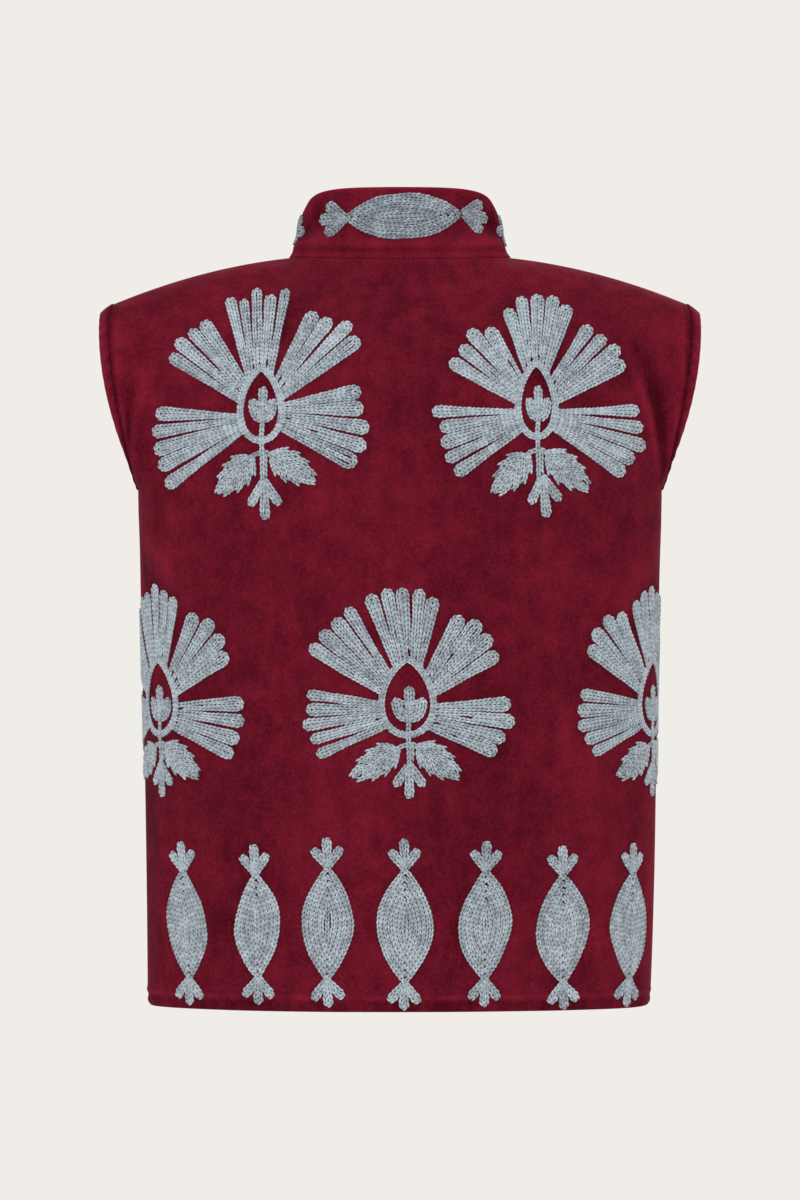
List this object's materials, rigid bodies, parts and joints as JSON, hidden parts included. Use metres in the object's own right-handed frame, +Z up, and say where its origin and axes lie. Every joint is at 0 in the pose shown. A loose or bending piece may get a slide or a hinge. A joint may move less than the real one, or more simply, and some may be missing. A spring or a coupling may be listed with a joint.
{
  "type": "embroidered vest",
  "caption": "Sleeveless velvet vest with a stand collar, cap shoulders and chain-stitch flowers, open down the front and standing filled out as it is worn.",
  "frame": {"origin": "midway between the two neck points, where the shoulder seams meet the collar", "axes": "+Z up as worn, the wearer faces -Y, the vest's back faces +Y, the wearer's left is +X"},
  "size_m": [0.4798, 0.2362, 0.6533],
  "materials": {
    "velvet": "cotton velvet, burgundy, soft sheen",
    "thread": "grey-blue embroidery thread, matt"
  },
  "bodies": {
    "root": {"back": "velvet", "front_left": "velvet", "front_right": "velvet", "collar": "velvet", "armhole_band_left": "velvet", "armhole_band_right": "velvet"}
  },
  "joints": []
}
